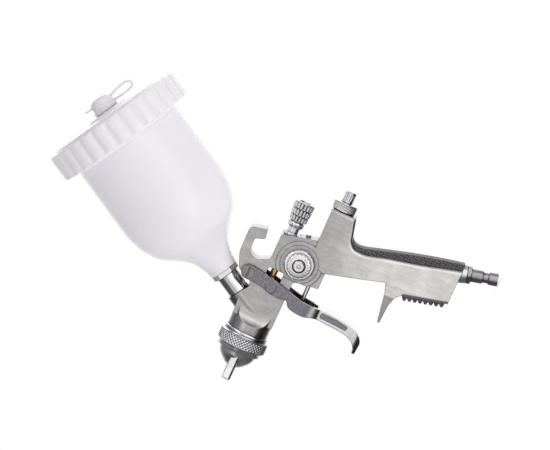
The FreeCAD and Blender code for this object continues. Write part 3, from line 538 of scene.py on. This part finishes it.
def make_lid():
    """Screwed lid with rounded ribs around its skirt."""
    ribs, steps_per_rib = 28, 16
    rib_depth = 1.5
    plain_radius = 52.3

    def ribbed(a, t, r):
        if r <= plain_radius:
            return r
        k = (a * ribs / (2 * math.pi)) % 1.0
        lobe = math.sin(math.pi * min(max((k - 0.10) / 0.80, 0.0), 1.0)) ** 0.55
        fade = min(1.0, t - 133.5) * min(1.0, max(0.0, (154.0 - t) / 2.0))
        return r - rib_depth * (1 - lobe) * (0.35 + 0.65 * fade)

    profile = [(150.5, 3.95), (150.5, 30), (150.5, 51.2), (150.4, 51.4), (133.8, 51.6), (133.5, 51.9),
               (133.5, 53.6), (133.8, 54.1), (134.4, 54.2), (140, 54.2), (146, 54.2), (151.6, 54.2),
               (152.6, 53.9), (153.3, 53.2), (153.5, 52.2), (153.5, 49.4), (153.7, 48.8), (154.6, 47.9),
               (155.1, 47.0), (155.3, 44.0), (155.6, 30.0), (155.8, 19.0), (156.2, 17.4), (157.0, 16.4),
               (157.4, 15.4), (157.4, 4.2), (157.0, 3.95)]
    bm = bmesh.new()
    add_lathe(bm, profile, frame_matrix(CUP_BASE, CUP_DIR), ribs * steps_per_rib, ribbed, True)
    return finish_mesh("lid_shell", bm, LID, "lid", "lid", 50.0)


def make_vent_plug():
    """Vent plug with its pull loop and finger lip."""
    m = frame_matrix(CUP_BASE, CUP_DIR)
    bm = bmesh.new()
    profile = [(147.5, 0), (147.5, 2.7), (147.8, 3.1), (149.4, 3.9), (157.45, 3.9), (157.5, 8.8),
               (157.8, 9.3), (158.4, 9.6), (159.8, 9.6), (160.4, 9.3), (160.8, 8.9), (162.0, 8.85),
               (164.0, 8.8), (165.6, 8.5), (166.8, 7.9), (167.8, 6.8), (168.5, 5.2), (168.9, 3.2),
               (169.1, 1.4), (169.15, 0)]
    add_lathe(bm, profile, m, 64)
    loop = [(6.5, 164.4), (12.0, 165.6), (18.0, 166.5), (23.6, 166.4), (26.6, 163.9), (24.2, 161.0),
            (18.0, 160.4), (12.0, 160.8), (6.5, 161.3)]
    add_tube(bm, [(x, 0, z) for x, z in curve_through(loop, 6)], 0.8, m, 14)
    lip = [(-8.4, -3.0), (-12.6, -2.7), (-13.6, -1.8), (-14.0, 0), (-13.6, 1.8), (-12.6, 2.7), (-8.4, 3.0)]
    add_prism(bm, lip, 164.2, 165.4, m)
    return finish_mesh("vent_plug_shell", bm, LID, "vent_plug", "vent_plug", 40.0)


# ---------------------------------------------------------------- turned and knurled metal

def knurl(count, pitch, depth, t0, t1):
    """Diamond knurl between t0 and t1, fading out over run_out at both ends."""
    run_out = 0.5

    def wave(a, t, r):
        if t < t0 or t > t1:
            return r
        fade = min(1.0, (t - t0) / run_out, (t1 - t) / run_out)
        u = count * a / 2
        v = math.pi * t / pitch
        return r - depth * fade * (1 - abs(math.sin(u + v)) ** 0.7 * abs(math.sin(u - v)) ** 0.7)
    return wave


def make_cap_ring():
    """Retaining ring with a diamond knurl."""
    teeth, steps_per_tooth = 44, 12
    m = frame_matrix((0, 0, 0), X_AXIS)
    outside = [(12.9, 14.3), (12.9, 15.9), (13.1, 16.3), (13.5, 16.6), (16.2, 16.6), (16.45, 16.75),
               (16.8, 18.0), (17.2, 18.4)]
    outside += densify([(17.2, 18.4), (24.8, 18.4)], 0.32)[1:]
    outside += [(25.1, 18.1), (25.45, 16.9), (25.7, 16.7), (26.1, 16.7), (26.3, 16.2), (26.9, 16.2),
                (27.1, 16.7), (28.1, 16.7), (28.5, 16.5), (28.7, 16.1), (28.7, 15.25), (14.35, 15.25),
                (14.35, 14.3)]
    bm = bmesh.new()
    add_lathe(bm, outside, m, teeth * steps_per_tooth, knurl(teeth, 2.6, 0.75, 17.1, 24.9), True)
    return finish_mesh("cap_ring_knurled", bm, CHROME, "cap_ring", "cap_ring", 45.0)


def make_valve_nut():
    """Rear valve nut with a fine diamond knurl and stepped end face."""
    teeth, steps_per_tooth = 34, 10
    m = frame_matrix((0, 0, -27.2), X_AXIS)
    outside = [(131.0, 2.05), (131.0, 6.5), (137.65, 6.5), (137.65, 8.0), (138.0, 8.5), (138.3, 8.75)]
    outside += densify([(138.3, 8.75), (143.7, 8.75)], 0.27)[1:]
    outside += [(144.0, 8.5), (144.4, 7.9), (144.4, 5.2), (144.1, 5.0), (144.1, 3.2), (144.4, 3.0),
                (144.4, 2.05)]
    bm = bmesh.new()
    add_lathe(bm, outside, m, teeth * steps_per_tooth, knurl(teeth, 1.6, 0.5, 138.25, 143.75), True)
    return finish_mesh("air_valve_nut_knurled", bm, CHROME, "gun", "air_valve_nut", 45.0)


def bands(count, spans, depth):
    """Coarse straight knurl in several bands, each turned half a tooth from the one before."""
    run_out, sharpness = 0.35, 0.8

    def wave(a, t, r):
        for i, (t0, t1) in enumerate(spans):
            if t0 < t < t1:
                fade = min(1.0, (t - t0) / run_out, (t1 - t) / run_out)
                tooth = abs(math.sin(count * a / 2 + (math.pi / 2 if i % 2 else 0.0)))
                return r - depth * fade * (1 - tooth ** sharpness)
        return r
    return wave


def make_fluid_knob():
    """Fluid knob: three coarse bands on a neck."""
    teeth, steps_per_tooth = 16, 14
    m = frame_matrix((0, 0, 0), X_AXIS)
    spans = [(117.6, 121.4), (122.1, 126.3), (127.1, 131.3)]
    outside = [(121.5, 4.15), (112.5, 4.15), (112.5, 5.1), (112.9, 5.5), (113.4, 5.75), (115.8, 6.2),
               (116.2, 6.0), (116.6, 4.9), (117.2, 4.9), (117.55, 6.5)]
    outside += densify([(117.6, 6.8), (121.4, 7.05)], 0.35) + [(121.5, 5.9), (122.0, 5.9)]
    outside += densify([(122.1, 7.2), (126.3, 7.45)], 0.35) + [(126.4, 6.2), (127.0, 6.2)]
    outside += densify([(127.1, 7.5), (131.3, 7.65)], 0.35)
    outside += [(131.6, 7.3), (132.0, 6.8), (132.0, 4.9), (131.7, 4.6), (131.2, 4.5), (131.2, 0.0)]
    bm = bmesh.new()
    add_lathe(bm, outside + [(121.5, 0.0)], m, teeth * steps_per_tooth, bands(teeth, spans, 1.15), True)
    return finish_mesh("fluid_knob_knurled", bm, CHROME, "fluid_knob", "fluid_knob", 40.0)


def make_fan_dial():
    """Fan control dial: notched rim, stepped face and raised graduation marks around a sunken screw."""
    notches, steps_per_notch = 18, 16
    marks, long_every = 9, 4
    half_width = 0.14
    m = frame_matrix(DIAL, (0, -1, 0))

    def rim(a, t, r):
        if r < 8.0:
            return r
        k = (a * notches / (2 * math.pi)) % 1.0
        dip = max(0.0, 1.0 - abs(k - 0.5) / 0.24)
        return r - 0.5 * dip ** 0.6

    profile = [(13.9, 4.0), (13.9, 8.2), (14.4, 8.8), (15.0, 9.0), (16.5, 9.0), (18.6, 9.0), (19.2, 8.9),
               (19.7, 8.5), (19.9, 7.9), (20.0, 6.0), (20.05, 5.1), (19.9, 4.9), (18.4, 4.8), (18.4, 4.4),
               (19.9, 4.3), (20.0, 4.2), (20.0, 1.5), (17.0, 1.5), (17.0, 4.0)]
    bm = bmesh.new()
    add_lathe(bm, profile, m, notches * steps_per_notch, rim, True)
    for i in range(marks):
        a = math.radians(195 + i * 18)
        across = Vector((-math.sin(a), math.cos(a), 0)) * half_width
        out = Vector((math.cos(a), math.sin(a), 0))
        reach = 7.6 if i % long_every == 0 else 7.0
        corners = [out * 6.0 - across, out * reach - across, out * reach + across, out * 6.0 + across]
        add_prism(bm, [(p.x, p.y) for p in corners], 19.85, 20.2, m)
    return finish_mesh("fan_dial_notched", bm, DIAL_PLATE, "fan_dial", "fan_dial")


def make_spring(name, node, x0, x1, z, mean, wire, turns):
    """Coil from x0 to x1 at height z."""
    steps = turns * 20
    path = []
    for i in range(steps + 1):
        a = 2 * math.pi * turns * i / steps
        path.append((mean * math.cos(a), mean * math.sin(a), x0 + wire + (x1 - x0 - 2 * wire) * i / steps))
    bm = bmesh.new()
    add_tube(bm, path, wire, frame_matrix((0, 0, z), X_AXIS), 8)
    obj = finish_mesh(name, bm, SPRING, "gun", node, 60.0)
    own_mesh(obj)


make_cup()
make_lid()
make_vent_plug()
make_cap_ring()
make_valve_nut()
make_fluid_knob()
make_fan_dial()
make_spring("needle_spring_coil", "needle_spring", 98.0, 119.0, 0.0, mean=2.4, wire=0.35, turns=9)
make_spring("air_valve_spring_coil", "air_valve_spring", 98.5, 125.5, -27.2, mean=4.0, wire=0.5, turns=8)


# ---------------------------------------------------------------- floor, light, camera

def area(name, offset, size, power):
    """Square light that faces the middle of the gun from an offset in metres."""
    data = bpy.data.lights.new(name, "AREA")
    data.shape = "RECTANGLE"
    data.size = data.size_y = size
    data.energy = power
    light = bpy.data.objects.new(name, data)
    bpy.context.scene.collection.objects.link(light)
    light.location = MIDDLE + offset
    light.rotation_euler = (MIDDLE - light.location).to_track_quat("-Z", "Y").to_euler()


def make_floor():
    """Pale floor that melts into the white surroundings, hidden from reflections and from below."""
    mesh = bpy.data.meshes.new("floor")
    bm = bmesh.new()
    bmesh.ops.create_grid(bm, x_segments=8, y_segments=8, size=20.0)
    bm.to_mesh(mesh)
    bm.free()
    floor = bpy.data.objects.new("floor", mesh)
    bpy.context.scene.collection.objects.link(floor)
    floor.location = (0, 0, CAD_BOX[0][2] - 0.0005)
    t = Material("floor")
    t.set("Base Color", t.ramp(t.noise(6.0), [(0.3, (0.90, 0.90, 0.90)), (0.7, (0.93, 0.93, 0.93))]))
    t.set("Roughness", 0.8)
    t.set("Specular IOR Level", 0.0)
    t.set("Emission Color", (1.0, 1.0, 1.0))
    t.set("Emission Strength", 0.62)
    length = t.node("ShaderNodeVectorMath", operation="LENGTH")
    t.link(t.place, length.inputs[0])
    far = t.remap(length.outputs["Value"], 0.35, 1.1, 0.0, 1.0)
    white = t.node("ShaderNodeEmission", Color=(1, 1, 1))
    fade = t.mix_shader(far, t.bsdf.outputs[0], white.outputs[0])
    hidden = t.math("MAXIMUM", t.node("ShaderNodeLightPath").outputs["Is Glossy Ray"],
                    t.node("ShaderNodeNewGeometry").outputs["Backfacing"])
    clear = t.node("ShaderNodeBsdfTransparent")
    t.link(t.mix_shader(hidden, fade, clear.outputs[0]), t.out.inputs[0])
    floor.data.materials.append(t.mat)


# studio seen in reflections: brightness by degrees around the camera's up axis, 0 at the camera, and
# a factor on it by how far the direction points up, from -1 to 1
AROUND = [(-180, 1.20), (-160, 1.10), (-145, 0.60), (-120, 0.20), (-95, 0.20), (-70, 0.28), (-54, 0.34),
          (-44, 0.85), (-36, 1.20), (-27, 1.15), (-21, 0.55), (-15, 0.75), (-9, 1.00), (0, 1.02), (10, 1.05),
          (20, 1.25), (38, 1.25), (46, 0.9), (54, 0.12), (72, 0.03), (110, 0.04), (135, 0.25), (150, 0.9),
          (165, 1.1), (180, 1.20)]
HEIGHTS = [(-1.0, 0.16), (-0.70, 0.20), (-0.45, 0.60), (-0.22, 0.95), (0.0, 1.0), (0.35, 1.0), (0.60, 1.35),
           (0.85, 0.85), (1.0, 0.6)]
HEIGHTS_SCALE = 1.4  # keeps the ramp's own values under 1
STEEP = (0.80, 0.80, 0.80)  # straight up and down, where the angle around the axis means little


def make_world():
    """White to the camera; a soft studio to reflections: bright to one side, dark to the other."""
    world = bpy.data.worlds.new("studio")
    bpy.context.scene.world = world
    world.use_nodes = True
    t = Graph(world.node_tree, "Generated")
    right, near, up = (t.dot(t.place, direction) for direction in (RIGHT, TO_CAMERA, UP))
    turn = t.remap(t.math("ARCTAN2", right, near), -math.pi, math.pi, 0.0, 1.0)
    around = t.ramp(turn, [((a + 180) / 360, (v, v, v)) for a, v in AROUND])
    rise = t.remap(up, -1.0, 1.0, 0.0, 1.0)
    level = t.ramp(rise, [((h + 1) / 2, (v / HEIGHTS_SCALE,) * 3) for h, v in HEIGHTS])
    steepness = t.remap(t.math("ABSOLUTE", up), 0.62, 0.88, 0.0, 1.0)
    reflect = t.node("ShaderNodeBackground", Color=t.mix(steepness, around, STEEP),
                     Strength=t.math("MULTIPLY", level, HEIGHTS_SCALE))
    fill = t.node("ShaderNodeBackground", Color=(0.98, 0.98, 1.0), Strength=0.42)
    white = t.node("ShaderNodeBackground", Color=(1, 1, 1))
    path = t.node("ShaderNodeLightPath")
    lit = t.mix_shader(path.outputs["Is Diffuse Ray"], reflect.outputs[0], fill.outputs[0])
    seen = t.mix_shader(path.outputs["Is Camera Ray"], lit, white.outputs[0])
    t.link(seen, t.node("ShaderNodeOutputWorld").inputs[0])


def make_camera():
    """Long lens at the photograph's angle; shown_width is the width of the view at the gun, in metres."""
    focal, sensor_width = 200.0, 36.0
    shown_width = 0.3994
    centre = G(107.3, 0, 13.4) + UP * 0.0005
    data = bpy.data.cameras.new("camera")
    data.lens = focal
    data.sensor_width = sensor_width
    data.clip_end = 50
    cam = bpy.data.objects.new("camera", data)
    bpy.context.scene.collection.objects.link(cam)
    basis = Matrix((RIGHT, UP, TO_CAMERA)).transposed().to_4x4()
    basis.translation = centre + TO_CAMERA * (shown_width * focal / sensor_width)
    cam.matrix_world = basis
    bpy.context.scene.camera = cam


make_floor()
make_world()
make_camera()
MIDDLE = G(90, 0, 20)
area("key", TO_CAMERA * 0.9 - RIGHT * 0.7 + UP * 0.8, 0.8, 1.6)
area("fill", TO_CAMERA * 1.2 + RIGHT * 0.8 - UP * 0.1, 0.9, 0.5)
area("back", -TO_CAMERA * 1.0 - RIGHT * 0.3 + UP * 1.0, 0.9, 1.0)

view = bpy.context.scene.view_settings
view.view_transform = "Standard"
view.look = "None"
